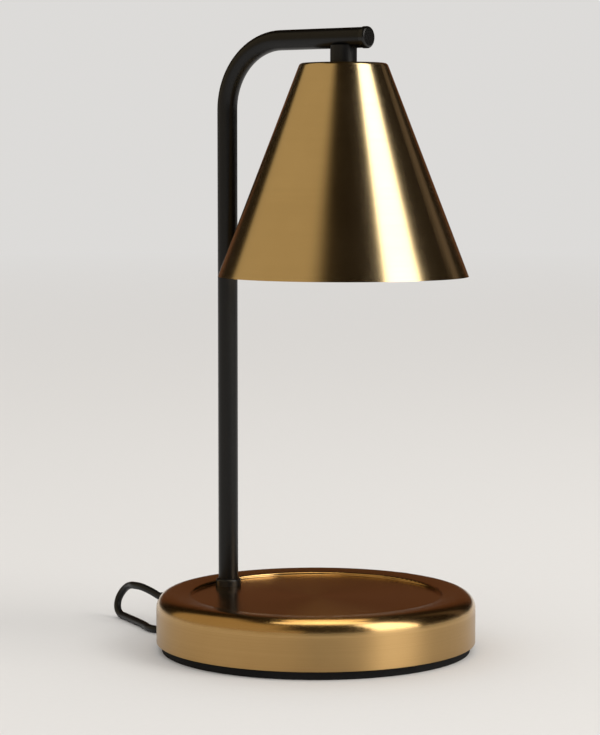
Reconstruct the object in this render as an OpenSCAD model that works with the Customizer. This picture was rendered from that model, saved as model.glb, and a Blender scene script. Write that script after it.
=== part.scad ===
// Candle warmer lamp: a weighted brass base with a candle tray, a bent post, a cone shade
// with a twist-lock bulb, and a supply lead with an in-line dimmer and a plug.
// Millimetres. The origin is the centre of the base's underside, on the table.
// +X runs from the post towards the shade, and +Z is up.

/* [Base] */
// Outside diameter of the round base
base_d = 150; // [144:1:180]
// Height of the raised rim above the table
base_h = 27; // [26:0.5:36]
// Sheet thickness of the pressed cover
cover_wall = 1; // [0.8:0.1:1.4]
// Radius of the rounded shoulder above the base wall
shoulder_r = 7; // [5:0.5:8]
// Radius of the rim's gentle crown
crown_r = 55; // [45:1:90]
// Width of the raised rim round the sunk candle tray
rim_w = 16; // [14:0.5:16]
// Depth of the tray below the highest line of the rim
tray_drop = 2.2; // [1.8:0.1:4]
// Rounding of the rim's inner edge
rim_edge_r = 0.8; // [0.4:0.1:1]
// Fillet where the rim meets the tray
tray_fillet_r = 0.5; // [0.3:0.1:0.6]
// Thickness of the soft foot pad
pad_t = 4; // [3:0.5:5]
// Step in from the base wall to the foot pad
pad_inset = 2.5; // [1.5:0.5:10]
// Thickness of the bottom plate
plate_t = 1.2; // [0.8:0.1:2]
// Thickness of the cast weight
weight_t = 11.3; // [9:0.1:13]
// Step in from the cover's wall to the cast weight
weight_inset = 8; // [7:0.5:12]
// Step in from the base wall to the bottom screws
screw_inset = 33; // [27:1:40]

/* [Post and arm] */
// Gap between the post's collar and the tray's edge
post_gap = 0.95; // [0.9:0.05:7]
// Outside diameter of the bent tube
tube_d = 9.5; // [9:0.1:9.6]
// Wall of the bent tube
tube_wall = 0.8; // [0.6:0.1:0.9]
// Radius of the bend on the tube's centre line
bend_r = 32; // [24:1:38]
// Height of the arm's centre line above the table
arm_h = 285; // [260:1:340]
// Reach of the shade's axis in front of the post
reach = 67.5; // [64:0.5:72]
// Length of the arm beyond the shade's axis, without its cap
arm_tail = 11.5; // [9:0.5:20]
// Height of the dark collar round the post's foot, with the part that its seat hides
collar_h = 3.7; // [2.3:0.2:6.3]
// Width of the collar's band round the post
collar_band = 1.25; // [0.8:0.05:1.3]
// Diameter of the arm's end cap
cap_d = 10.1; // [9.8:0.1:12]
// Thickness of the end cap's head
cap_t = 2.8; // [2:0.1:5]
// Diameter of the sleeve between arm and shade
sleeve_d = 12.3; // [11.4:0.1:16]

/* [Shade] */
// Diameter of the shade's flat top
shade_top_d = 40.2; // [37:0.2:50]
// Diameter of the shade's open mouth
shade_mouth_d = 116; // [106:1:116]
// Height of the shade
shade_h = 97.8; // [92:0.1:120]
// Sheet thickness of the shade
shade_wall = 0.8; // [0.6:0.1:1.2]
// Rounding between the shade's top and its cone
shade_corner_r = 2; // [1.5:0.1:4]
// Distance from the arm's centre line down to the shade's top
shade_drop = 11.4; // [8:0.1:20]

/* [Bulb and holder] */
// Diameter of the bulb's front rim
bulb_d = 50; // [46:1:51]
// Height of the bulb's reflector bowl, without its front rim
bowl_h = 33; // [28:1:36]
// Diameter of the bulb's base
bulb_base_d = 21; // [19:0.5:24]
// Distance between the bulb's two pins
pin_pitch = 10; // [10:0.1:11]
// Turn that locks the bulb in its holder, in degrees
lock_turn = 30; // [24:1:34]
// Length of the holder block along the arm
holder_x = 20; // [20:0.5:22]
// Width of the holder block across the arm
holder_y = 30; // [29:0.5:32]
// Height of the holder block
holder_h = 15; // [13:0.5:18]

/* [Lead] */
// Diameter of the supply lead
lead_d = 3.6; // [3:0.1:3.8]
// Height of the lead's exit above the table
exit_h = 14.5; // [13:0.5:15]
// Length of the strain relief's tapered nose
nose_l = 17.5; // [12:0.5:18]

/* [Dimmer] */
// Length of the in-line dimmer
dimmer_l = 64; // [62:1:70]
// Width of the in-line dimmer
dimmer_w = 28; // [27:0.5:30]
// Height of the in-line dimmer
dimmer_h = 16; // [16:0.5:20]
// Wall of the dimmer's two shells
dimmer_wall = 1.6; // [1.2:0.1:1.8]
// Diameter of the dimmer's wheel
wheel_d = 26; // [24:0.5:27]
// Thickness of the dimmer's wheel
wheel_t = 4; // [3:0.5:5]

/* [Hidden] */
$fn = 96;

// Clearances: a close fit, a turning shaft, a loose hole, and between pieces that move.
fit = 0.05;
running = 0.05;
loose = 0.2;
travel = 0.3;
// How far a cut runs past the face that it opens.
cut = 1;

// Base
base_r = base_d / 2;
wall_in_r = base_r - cover_wall;
tray_r = base_r - rim_w;
tray_z = base_h - tray_drop;
tray_under_z = tray_z - cover_wall;
shoulder_x = base_r - shoulder_r;
shoulder_z = base_h - shoulder_r;
crown_z = base_h - crown_r;
step_h = crown_z + sqrt(crown_r ^ 2 - (shoulder_x - tray_r) ^ 2) - tray_z;
rim_edge = min(rim_edge_r, 0.55 * step_h);
tray_fillet = min(tray_fillet_r, 0.35 * step_h);
edge_x = tray_r + rim_edge;
edge_z = crown_z + sqrt((crown_r - rim_edge) ^ 2 - (shoulder_x - edge_x) ^ 2);
edge_tangent_x = shoulder_x - (shoulder_x - edge_x) * crown_r / (crown_r - rim_edge);
weight_r = wall_in_r - weight_inset;
weight_z = tray_under_z - weight_t;
plate_z = pad_t + plate_t;
weight_web = 2.5;
collar_seat = 0.3;
pocket_d = 26;
pocket_slot = 8;
boss_d = 12;
screw_count = 3;
base_screw_d = 4;
base_screw_l = 10;
base_head_d = 8;
base_head_t = 2;
pad_hole_d = base_head_d + 1;

// Post and arm
tube_r = tube_d / 2;
collar_r = tube_r + fit + collar_band;
post_x = -(tray_r - post_gap - collar_r);
post_foot_z = tray_z - collar_seat;
tube_in_d = tube_d - 2 * tube_wall;
shade_x = post_x + reach;
arm_end_x = shade_x + arm_tail;
post_nipple_d = tube_in_d - 2 * fit;
post_nipple_bore = lead_d + 1;
post_washer_d = 18;
post_washer_t = 1.5;
post_nut_af = 13;
post_nut_h = 3.2;
thread_end = 0.8;
post_grip = 15;
post_nut_z = tray_under_z - weight_web - post_washer_t - post_nut_h;
post_nipple_z = post_nut_z - thread_end;
collar_round = 1;
cap_round = 1.2;
cap_spigot = 6;
saddle_wrap = 1.5;
stem_d = 6;
stem_bore = 4.4;
stem_stand = 1;

// Shade and holder, from the arm down
shade_lean = atan((shade_mouth_d - shade_top_d) / 2 / shade_h);
shade_top_z = arm_h - shade_drop;
shade_mouth_z = shade_top_z - shade_h;
shade_corner_x = shade_top_d / 2 - shade_corner_r * (1 - sin(shade_lean)) / cos(shade_lean);
shade_corner_z = shade_top_z - shade_corner_r;
shade_washer_d = 16;
shade_washer_t = 1;
shade_washer_z = shade_top_z - shade_wall - shade_washer_t;
bracket_t = 1.5;
bracket_w = 12;
bracket_drop = 9.8;
bracket_foot = 8;
bracket_z = shade_washer_z - bracket_t;
stem_nut_af = 10;
stem_nut_h = 3;
stem_nut_z = bracket_z - stem_nut_h;
stem_z = stem_nut_z - 0.5;
holder_top_z = shade_washer_z - bracket_drop;
holder_z = holder_top_z - holder_h;
holder_round = 3;
face_t = 3;
chamber_h = 4;
chamber_z = holder_z + face_t;
contact_z = chamber_z + chamber_h;
pin_d = 3;
pin_head_d = 5;
pin_head_h = chamber_h - 2 * travel - 0.2;
pin_root = 4;
contact_x = 5;
contact_y = 11;
contact_t = 0.8;
contact_shift = -1.4;
holder_screw_y = holder_y / 2 - 4;
holder_screw_d = 3;
holder_head_d = 5.6;
holder_head_t = 2;
wire_d = 1.5;
wire_gap = 0.4;
wire_y = (wire_d + wire_gap) / 2;
wire_bend = 3;
wire_run = 10;
wire_start_x = shade_x - wire_run;

// Bulb
bulb_top_z = holder_z - travel;
bulb_base_h = 12.7;
bowl_z = bulb_top_z - bulb_base_h;
bowl_rim_z = bowl_z - bowl_h;
rim_h = 3;
bulb_z = bowl_rim_z - rim_h;
bowl_dr = (bulb_d - bulb_base_d) / 2;
bowl_r = (bowl_h ^ 2 + bowl_dr ^ 2) / (2 * bowl_dr);
glass_wall = 1.5;
lens_t = 2;
lens_set = 0.5;
capsule_d = 9;
capsule_l = 22;

// Strain relief and the lead inside the base
bushing_flange_d = 9;
bushing_flange_t = 1.5;
bushing_shank_d = 6.4;
bushing_tip_d = 4.6;
bushing_lock_d = 8;
bushing_lock_x = sqrt(wall_in_r ^ 2 - (bushing_lock_d / 2) ^ 2) - fit;
bushing_end_x = -(bushing_lock_x - 2.35);
bushing_tip_x = -(base_r + fit + bushing_flange_t + nose_l);
inner_bend_r = 7;
inner_low_z = post_nipple_z - inner_bend_r;
inner_dip = acos(1 - (exit_h - inner_low_z) / (2 * inner_bend_r));
inner_dip_x = post_x - inner_bend_r * (1 + 2 * sin(inner_dip));

// In-line dimmer, in its own frame: x along the lead, y across, z up from the table
dimmer_round = 3;
end_r = dimmer_w / 2;
end_x = dimmer_l / 2 - end_r;
split_z = dimmer_h / 2;
wheel_r = wheel_d / 2;
wheel_out = 3;
wheel_y = end_r + wheel_out - wheel_r;
wheel_z = split_z - wheel_t / 2;
wheel_grooves = 36;
groove_d = 1.2;
shaft_d = 6;
window_x = sqrt(wheel_r ^ 2 - (end_r - dimmer_wall - wheel_y) ^ 2) + 1;
board_z = dimmer_wall + 0.6;
board_t = 1.2;
board_x = 40;
board_y = 18;
pot_d = 14;
pot_z = board_z + board_t;
pot_h = wheel_z - travel - pot_z;
screw_x = 23;
screw_y = 7;
shell_boss_d = 5.6;
shell_screw_d = 2.4;
shell_head_d = 4.2;
shell_head_t = 1.4;
shell_screw_short = 1.3;
shell_screw_l = dimmer_h - dimmer_wall - shell_screw_short - shell_head_t - loose;
lead_in = 5;

// Plug, in its own frame: x across, y from its face to its nose, z up from the table
plug_w = 24;
plug_h = 14;
plug_l = 30;
plug_taper_l = 8;
plug_nose_l = 18;
plug_nose_d = 8;
plug_tip_d = 4.6;
blade_w = 6.35;
blade_t = 1.5;
blade_l = 17;
blade_pitch = 12.7;
blade_root = 5;
blade_hole_d = 3.2;

// Where the lead's pieces lie, in a frame turned about the base's axis
lay_turn = 36;
dimmer_at = [14, 92, 0];
coil_at = [38, 133, 0];
plug_at = [-48, 92, 0];
coil_r = 20;
coil_bundle = 3 * lead_d;
lead_sides = 8;
lead_z = lead_d / 2;

function laid(p) = [
    p[0] * cos(lay_turn) - p[1] * sin(lay_turn),
    p[0] * sin(lay_turn) + p[1] * cos(lay_turn),
    p[2]
];

// The lead's routes, as points chosen by hand
loop_points = [
    [-80.9, 60, 16.3], [-86, 64.6, 17.8], [-90.2, 70.1, 17.7], [-92.7, 76.5, 16.6],
    [-95, 80.4, 15], [-97, 82, 12.7], [-98.8, 82.1, 9.5], [-99.5, 81.2, 6.5],
    [-99.2, 79.2, 4], [-97.6, 76.2, 2], [-95.6, 72.8, 1.8], [-92.5, 66.5, 1.8],
    [-89.4, 60.2, 1.8], [-86.4, 53.9, 1.8], [-83.6, 47.5, 1.8], [-81.1, 40.9, 1.8],
    [-78.6, 37.6, 1.8], [-75.3, 35.9, 1.8], [-71.9, 36.1, 1.8], [-68.4, 38, 1.8],
    [-65.6, 41.8, 1.8], [-62.6, 48.1, 1.8], [-59.8, 54.6, 1.8], [-56.7, 60.8, 1.8],
    [-53.2, 66.9, 1.8], [-49.2, 72.6, 1.8], [-44.7, 78, 1.8], [-39.8, 82.8, 1.8],
    [-34.3, 86.9, 2.9], [-28.4, 90, 5.4]
];
coil_in_points = [
    [54, 93, 5.5], [60, 98, 3], [63, 106, 1.8], [63, 118, 1.8], [61.6, 133, 1.8]
];
plug_points = [
    [38, 156.6, 9], [26, 157, 7.5], [14, 157.5, 4], [2, 157, 1.8], [-10, 156.5, 1.8],
    [-22, 156, 1.8], [-31, 156, 2.2], [-38, 156, 3.5], [-44.5, 153.5, 5], [-47.8, 147.5, 6.6]
];

dimmer_left = dimmer_at[0] - dimmer_l / 2;
dimmer_right = dimmer_at[0] + dimmer_l / 2;
dimmer_route = concat(
    [[bushing_end_x, 0, exit_h], [bushing_tip_x, 0, exit_h]],
    [for (p = loop_points) laid(p)],
    [laid([dimmer_left - 1.5, dimmer_at[1], split_z]), laid([dimmer_left + lead_in, dimmer_at[1], split_z])]
);
coil_route = concat(
    [laid([dimmer_right - lead_in, dimmer_at[1], split_z]), laid([dimmer_right + 1, dimmer_at[1], split_z])],
    [for (p = coil_in_points) laid(p)]
);
plug_route = concat(
    [for (p = plug_points) laid(p)],
    [laid([plug_at[0], plug_at[1] + plug_l + plug_nose_l, plug_h / 2])]
);

// ---------- shared shapes ----------

function unit(v) = v / norm(v);
function route_dir(p, i) = unit(p[min(i + 1, len(p) - 1)] - p[max(i - 1, 0)]);
function carried(side, dir) = unit(side - (side * dir) * dir);
function ring_sides(p, i, side) =
    i == len(p) ? [] :
    let (s = carried(side, route_dir(p, i)))
    concat([s], ring_sides(p, i + 1, s));

// A tube swept along the points of a route, with one ring at each point
module swept_tube(p, d) {
    n = lead_sides;
    last = len(p) - 1;
    side = ring_sides(p, 0, [0, 0, 1]);
    points = [
        for (i = [0:last], k = [0:n - 1])
        let (a = side[i], b = cross(route_dir(p, i), a), turn = 360 * (k + 0.5) / n)
        p[i] + d / 2 * (cos(turn) * a + sin(turn) * b)
    ];
    walls = [
        for (i = [0:last - 1], k = [0:n - 1])
        let (j = (k + 1) % n, low = i * n, high = low + n)
        each [[low + k, high + k, high + j], [low + k, high + j, low + j]]
    ];
    start = [for (k = [0:n - 1]) k];
    end = [for (k = [0:n - 1]) last * n + n - 1 - k];
    polyhedron(concat(points), concat([start], walls, [end]));
}

// A bend of round bar in the XZ plane; start and sweep are angles from +X towards +Z
module xz_bend(x, z, r, start, sweep, d) {
    translate([x, 0, z]) rotate([90, 0, 0]) rotate([0, 0, start])
        rotate_extrude(angle = sweep) translate([r, 0]) circle(d = d);
}

// Post, bend and arm as one round bar, from a height on the post to a place on the arm
module bent_bar(d, from_z, to_x) {
    translate([post_x, 0, from_z]) cylinder(d = d, h = arm_h - bend_r - from_z);
    xz_bend(post_x + bend_r, arm_h - bend_r, bend_r, 90, 90, d);
    translate([post_x + bend_r, 0, arm_h]) rotate([0, 90, 0])
        cylinder(d = d, h = to_x - post_x - bend_r);
}

module rounded_rect(x, y, r) {
    square([x, y - 2 * r], center = true);
    square([x - 2 * r, y], center = true);
    for (i = [-1, 1], j = [-1, 1])
        translate([i * (x / 2 - r), j * (y / 2 - r)]) circle(r);
}

module hex_nut(across_flats, h, bore) {
    difference() {
        cylinder(d = across_flats / cos(30), h = h, $fn = 6);
        translate([0, 0, -cut]) cylinder(d = bore, h = h + 2 * cut);
    }
}

module washer(d, t, bore) {
    difference() {
        cylinder(d = d, h = t);
        translate([0, 0, -cut]) cylinder(d = bore, h = t + 2 * cut);
    }
}

// A screw whose head lies below z = 0 and whose shank points up
module cross_screw(d, l, head_d, head_t) {
    slot = head_d / 7;
    difference() {
        union() {
            translate([0, 0, -head_t]) cylinder(d = head_d, h = head_t);
            cylinder(d = d, h = l);
        }
        for (turn = [0, 90]) rotate([0, 0, turn]) translate([-head_d * 0.3, -slot / 2, -head_t - cut])
            cube([head_d * 0.6, slot, cut + head_t / 2]);
    }
}

// ---------- base ----------

module cover_outside() {
    translate([0, pad_t]) square([base_r, shoulder_z - pad_t]);
    translate([0, shoulder_z]) square([shoulder_x, tray_z - shoulder_z]);
    translate([shoulder_x, shoulder_z]) circle(shoulder_r);
    intersection() {
        translate([shoulder_x, crown_z]) circle(crown_r);
        translate([edge_tangent_x, shoulder_z]) square([shoulder_x - edge_tangent_x, shoulder_r]);
    }
    translate([tray_r, shoulder_z]) square([edge_tangent_x - tray_r, edge_z - shoulder_z]);
    translate([edge_x, edge_z]) circle(rim_edge);
    translate([tray_r - tray_fillet, tray_z]) difference() {
        square(tray_fillet);
        translate([0, tray_fillet]) circle(tray_fillet);
    }
}

module cover_inside() {
    corner = tray_fillet + cover_wall;
    translate([0, pad_t - cut]) square([wall_in_r, shoulder_z - pad_t + cut]);
    translate([0, shoulder_z]) square([shoulder_x, tray_under_z - shoulder_z]);
    translate([shoulder_x, shoulder_z]) circle(shoulder_r - cover_wall);
    intersection() {
        translate([shoulder_x, crown_z]) circle(crown_r - cover_wall);
        translate([tray_r + cover_wall, shoulder_z])
            square([shoulder_x - tray_r - cover_wall, shoulder_r]);
    }
    translate([tray_r - tray_fillet, tray_under_z]) difference() {
        square(corner);
        translate([0, corner]) circle(corner);
    }
}

module at_post(z) {
    translate([post_x, 0, z]) children();
}

// Something that lies along -X at the lead's exit, measured from the base's axis
module at_exit(x) {
    translate([-x, 0, exit_h]) rotate([0, -90, 0]) children();
}

module at_base_screws(z) {
    for (i = [0:screw_count - 1]) rotate([0, 0, 360 * i / screw_count])
        translate([base_r - screw_inset, 0, z]) children();
}

module base_cover() {
    color("#a9783a") difference() {
        rotate_extrude() difference() {
            cover_outside();
            cover_inside();
        }
        at_post(tray_under_z - cut) cylinder(d = post_nipple_d + 2 * loose, h = cover_wall + 2 * cut);
        at_post(post_foot_z) cylinder(r = collar_r + loose, h = collar_seat + cut);
        at_exit(wall_in_r - 2 * cut) cylinder(d = bushing_shank_d + loose, h = cover_wall + 4 * cut);
    }
}

module base_weight() {
    color("#4a4a4d") difference() {
        union() {
            translate([0, 0, weight_z]) cylinder(r = weight_r, h = weight_t);
            at_base_screws(plate_z) cylinder(d = boss_d, h = weight_z - plate_z + cut);
        }
        at_post(weight_z - cut) cylinder(d = pocket_d, h = weight_t - weight_web + cut);
        translate([-base_r, -pocket_slot / 2, weight_z - cut])
            cube([base_r + post_x, pocket_slot, weight_t - weight_web + cut]);
        at_post(weight_z) cylinder(d = post_nipple_d + 2 * loose, h = weight_t + cut);
        at_base_screws(plate_z - cut) cylinder(d = base_screw_d + 2 * fit, h = base_screw_l + cut);
    }
}

module bottom_plate() {
    color("#8c8c8c") difference() {
        translate([0, 0, pad_t]) cylinder(r = wall_in_r - loose, h = plate_t);
        at_base_screws(pad_t - cut) cylinder(d = base_screw_d + 2 * loose, h = plate_t + 2 * cut);
    }
}

module foot_pad() {
    color("#1b1b1b") difference() {
        cylinder(r = base_r - pad_inset, h = pad_t);
        at_base_screws(-cut) cylinder(d = pad_hole_d, h = pad_t + 2 * cut);
    }
}

module bottom_screws() {
    color("#b9b9bd") at_base_screws(pad_t)
        cross_screw(base_screw_d, base_screw_l, base_head_d, base_head_t);
}

module post_nipple() {
    color("#b9b9bd") at_post(post_nipple_z) difference() {
        cylinder(d = post_nipple_d, h = tray_z + post_grip - post_nipple_z);
        translate([0, 0, -cut]) cylinder(d = post_nipple_bore, h = arm_h);
    }
}

module post_washer() {
    color("#b9b9bd") at_post(post_nut_z + post_nut_h)
        washer(post_washer_d, post_washer_t, post_nipple_d + 2 * loose);
}

module post_nut() {
    color("#b9b9bd") at_post(post_nut_z) hex_nut(post_nut_af, post_nut_h, post_nipple_d + 2 * fit);
}

module post_collar() {
    color("#141414") at_post(post_foot_z) rotate_extrude() translate([tube_r + fit, 0]) {
        square([collar_band - collar_round, collar_h]);
        square([collar_band, collar_h - collar_round]);
        translate([collar_band - collar_round, collar_h - collar_round]) intersection() {
            circle(collar_round);
            square(collar_round);
        }
    }
}

module cord_bushing() {
    flange_x = base_r + fit;
    color("#161616") difference() {
        union() {
            at_exit(-bushing_end_x) cylinder(d = bushing_lock_d, h = bushing_lock_x + bushing_end_x);
            at_exit(-bushing_end_x)
                cylinder(d = bushing_shank_d, h = flange_x + bushing_flange_t + bushing_end_x);
            at_exit(flange_x) cylinder(d = bushing_flange_d, h = bushing_flange_t);
            at_exit(flange_x + bushing_flange_t)
                cylinder(d1 = bushing_shank_d, d2 = bushing_tip_d, h = nose_l);
        }
        at_exit(-bushing_end_x - cut)
            cylinder(d = lead_d + 2 * fit, h = bushing_end_x - bushing_tip_x + 2 * cut);
    }
}

// ---------- post and arm ----------

module post_arm() {
    color("#161514") difference() {
        bent_bar(tube_d, post_foot_z, arm_end_x);
        bent_bar(tube_in_d, post_foot_z - cut, arm_end_x + cut);
        translate([shade_x, 0, arm_h - tube_d]) cylinder(d = stem_d + 2 * fit, h = tube_d);
    }
}

module arm_cap() {
    flat = cap_t - cap_round;
    color("#1d1c1b") translate([arm_end_x, 0, arm_h]) rotate([0, 90, 0]) {
        translate([0, 0, -cap_spigot]) cylinder(d = tube_in_d - 2 * fit, h = cap_spigot);
        rotate_extrude() {
            square([cap_d / 2 - cap_round, cap_t]);
            square([cap_d / 2, flat]);
            translate([cap_d / 2 - cap_round, flat]) intersection() {
                circle(cap_round);
                square(cap_round);
            }
        }
    }
}

module stem_sleeve() {
    sleeve_h = arm_h - tube_r + saddle_wrap - shade_top_z;
    color("#161514") difference() {
        translate([shade_x, 0, shade_top_z]) cylinder(d = sleeve_d, h = sleeve_h);
        translate([shade_x - sleeve_d, 0, arm_h]) rotate([0, 90, 0])
            cylinder(r = tube_r + fit, h = 2 * sleeve_d);
        translate([shade_x, 0, shade_top_z - cut]) cylinder(d = stem_d + 2 * fit, h = sleeve_h + 2 * cut);
    }
}

module stem_nipple() {
    top_z = arm_h - tube_in_d / 2 + stem_stand;
    color("#b9b9bd") translate([shade_x, 0, stem_z]) difference() {
        cylinder(d = stem_d, h = top_z - stem_z);
        translate([0, 0, -cut]) cylinder(d = stem_bore, h = top_z - stem_z + 2 * cut);
    }
}

module inner_lead() {
    color("#1a1a1a") {
        at_exit(-inner_dip_x) cylinder(d = lead_d, h = inner_dip_x - bushing_end_x);
        xz_bend(inner_dip_x, exit_h - inner_bend_r, inner_bend_r, 90 - inner_dip, inner_dip, lead_d);
        xz_bend(post_x - inner_bend_r, post_nipple_z, inner_bend_r,
            270 - inner_dip, 90 + inner_dip, lead_d);
        bent_bar(lead_d, post_nipple_z, wire_start_x);
    }
}

// The way of one conductor from the lead's end in the arm to its contact in the holder
function conductor_route(side) = concat(
    [[wire_start_x, side * wire_y, arm_h]],
    [for (turn = [0:30:90])
        [shade_x - wire_bend * (1 - sin(turn)), side * wire_y, arm_h - wire_bend * (1 - cos(turn))]],
    [
        [shade_x, side * wire_y, stem_z - 1],
        [shade_x + side * pin_pitch / 2, side * contact_shift, holder_top_z - 1],
        [shade_x + side * pin_pitch / 2, side * contact_shift, contact_z + contact_t]
    ]
);

module conductors() {
    color("#ddd6c4") for (side = [-1, 1]) swept_tube(conductor_route(side), wire_d);
}

// ---------- shade and lampholder ----------

// The line of the shade's skin from its centre to its mouth, drawn inwards by an inset
function shade_line(inset) =
    let (r = shade_corner_r - inset, steps = 8)
    concat(
        [[0, shade_top_z - inset]],
        [for (i = [0:steps])
            let (turn = 90 - (90 - shade_lean) * i / steps)
            [shade_corner_x + r * cos(turn), shade_corner_z + r * sin(turn)]],
        [[shade_mouth_d / 2 - inset / cos(shade_lean), shade_mouth_z]]
    );

module shade() {
    skin = shade_line(shade_wall);
    color("#b8863f") translate([shade_x, 0, 0]) difference() {
        rotate_extrude()
            polygon(concat(shade_line(0), [for (i = [len(skin) - 1:-1:0]) skin[i]]));
        translate([0, 0, shade_top_z - 2 * cut]) cylinder(d = stem_d + 2 * loose, h = 3 * cut);
    }
}

module shade_washer() {
    color("#b9b9bd") translate([shade_x, 0, shade_washer_z])
        washer(shade_washer_d, shade_washer_t, stem_d + 2 * loose);
}

module stem_nut() {
    color("#b9b9bd") translate([shade_x, 0, stem_nut_z])
        hex_nut(stem_nut_af, stem_nut_h, stem_d + 2 * fit);
}

module at_holder_screws(z) {
    for (side = [-1, 1]) translate([shade_x, side * holder_screw_y, z]) children();
}

module holder_bracket() {
    color("#c9c9cc") difference() {
        union() {
            translate([shade_x - bracket_w / 2, -holder_y / 2, bracket_z])
                cube([bracket_w, holder_y, bracket_t]);
            for (turn = [0, 180]) translate([shade_x, 0, holder_top_z]) rotate([0, 0, turn]) {
                translate([-bracket_w / 2, holder_y / 2 - bracket_t, 0])
                    cube([bracket_w, bracket_t, bracket_drop]);
                translate([-bracket_w / 2, holder_y / 2 - bracket_foot, 0])
                    cube([bracket_w, bracket_foot, bracket_t]);
            }
        }
        translate([shade_x, 0, bracket_z - cut]) cylinder(d = stem_d + 2 * loose, h = bracket_t + 2 * cut);
        at_holder_screws(holder_top_z - cut)
            cylinder(d = holder_screw_d + 2 * fit, h = bracket_t + 2 * cut);
    }
}

function on_circle(centre, r, turn) = centre + r * [cos(turn), sin(turn)];

// A curved slot about the holder's axis, from the bulb's entry to its locked place
module kidney(w, z, h) {
    r = pin_pitch / 2;
    steps = 4;
    translate([0, 0, z]) linear_extrude(h) polygon(concat(
        [for (i = [0:steps]) on_circle([0, 0], r + w / 2, lock_turn * (i / steps - 1))],
        [for (turn = [30:30:150]) on_circle([r, 0], w / 2, turn)],
        [for (i = [0:steps]) on_circle([0, 0], r - w / 2, -lock_turn * i / steps)],
        [for (turn = [210:30:330]) on_circle(on_circle([0, 0], r, -lock_turn), w / 2, turn - lock_turn)]
    ));
}

module lampholder() {
    seat = 2 * travel;
    color("#e8e2d2") translate([shade_x, 0, 0]) difference() {
        translate([0, 0, holder_z]) linear_extrude(holder_h)
            rounded_rect(holder_x, holder_y, holder_round);
        for (turn = [0, 180]) rotate([0, 0, turn]) {
            kidney(pin_d + seat, holder_z - cut, face_t + 2 * cut);
            kidney(pin_head_d + 2 * seat, chamber_z, chamber_h);
            rotate([0, 0, -lock_turn]) translate([pin_pitch / 2, 0, holder_z - cut])
                cylinder(d = pin_head_d + seat, h = face_t + 2 * cut);
            translate([(pin_pitch - contact_x) / 2 - loose, contact_shift - contact_y / 2 - loose, contact_z])
                cube([contact_x + 2 * loose, contact_y + 2 * loose, holder_h]);
            translate([0, holder_screw_y, holder_z - cut]) {
                cylinder(d = holder_screw_d + 2 * loose, h = holder_h + 2 * cut);
                cylinder(d = holder_head_d + 2 * loose, h = holder_head_t + loose + cut);
            }
        }
    }
}

module holder_contacts() {
    color("#b87333") for (turn = [0, 180]) translate([shade_x, 0, contact_z]) rotate([0, 0, turn])
        translate([(pin_pitch - contact_x) / 2, contact_shift - contact_y / 2, 0])
            cube([contact_x, contact_y, contact_t]);
}

module holder_screws() {
    shank = holder_h - holder_head_t - loose + bracket_t;
    color("#b9b9bd") at_holder_screws(holder_z + holder_head_t + loose)
        cross_screw(holder_screw_d, shank, holder_head_d, holder_head_t);
}

// ---------- bulb ----------

module at_pins(z) {
    for (side = [-1, 1]) translate([shade_x + side * pin_pitch / 2, 0, z]) children();
}

module bulb_base() {
    color("#efece4") difference() {
        translate([shade_x, 0, bowl_z]) cylinder(d = bulb_base_d, h = bulb_base_h);
        at_pins(bulb_top_z - pin_root) cylinder(d = pin_d + 2 * fit, h = pin_root + cut);
    }
}

module bulb_pins() {
    neck = pin_root + travel + face_t + travel;
    color("#c9c9cc") at_pins(bulb_top_z - pin_root) {
        cylinder(d = pin_d, h = neck);
        translate([0, 0, neck]) cylinder(d = pin_head_d, h = pin_head_h);
    }
}

module bowl_outline(inset, past) {
    intersection() {
        translate([bulb_d / 2 - bowl_r, bowl_rim_z]) circle(bowl_r - inset);
        translate([0, bowl_rim_z]) square([bulb_d / 2, bowl_h + past]);
    }
    translate([0, bulb_z - past]) square([bulb_d / 2 - inset, rim_h + past]);
}

module bulb_reflector() {
    color("#d9dde0") translate([shade_x, 0, 0]) rotate_extrude() difference() {
        bowl_outline(0, 0);
        bowl_outline(glass_wall, cut);
    }
}

module bulb_lens() {
    color("#dfe8ea") translate([shade_x, 0, bulb_z + lens_set])
        cylinder(r = bulb_d / 2 - glass_wall - fit, h = lens_t);
}

module bulb_capsule() {
    color("#eef2f2") translate([shade_x, 0, bowl_z - capsule_l + capsule_d / 2]) {
        cylinder(d = capsule_d, h = capsule_l - capsule_d / 2);
        sphere(d = capsule_d);
    }
}

// ---------- in-line dimmer ----------

module at_dimmer() {
    rotate([0, 0, lay_turn]) translate(dimmer_at) children();
}

// The dimmer's rounded oblong, drawn inwards by an inset
module dimmer_form(inset) {
    w = dimmer_w - 2 * inset;
    h = dimmer_h - 2 * inset;
    r = dimmer_round - inset;
    translate([-end_x, 0, split_z]) rotate([90, 0, 90]) linear_extrude(2 * end_x)
        rounded_rect(w, h, r);
    for (side = [0, 180]) rotate([0, 0, side]) translate([end_x, 0, split_z])
        rotate([0, 0, -90]) rotate_extrude(angle = 180) intersection() {
            rounded_rect(w, h, r);
            translate([0, -h / 2]) square([w / 2, h]);
        }
}

module at_shell_screws(z) {
    for (side = [0, 180]) rotate([0, 0, side]) translate([screw_x, -screw_y, z]) children();
}

// A hollow half of the dimmer between two heights, with its bosses, lead holes and window
module dimmer_half(low, high) {
    difference() {
        intersection() {
            union() {
                difference() {
                    dimmer_form(0);
                    dimmer_form(dimmer_wall);
                }
                at_shell_screws(dimmer_wall / 2) cylinder(d = shell_boss_d, h = dimmer_h - dimmer_wall);
            }
            translate([-dimmer_l, -dimmer_w, low]) cube([2 * dimmer_l, 2 * dimmer_w, high - low]);
        }
        translate([-dimmer_l, 0, split_z]) rotate([0, 90, 0])
            cylinder(d = lead_d + 2 * fit, h = 2 * dimmer_l);
        translate([-window_x, 0, wheel_z - travel])
            cube([2 * window_x, dimmer_w, wheel_t + 2 * travel]);
    }
}

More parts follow.
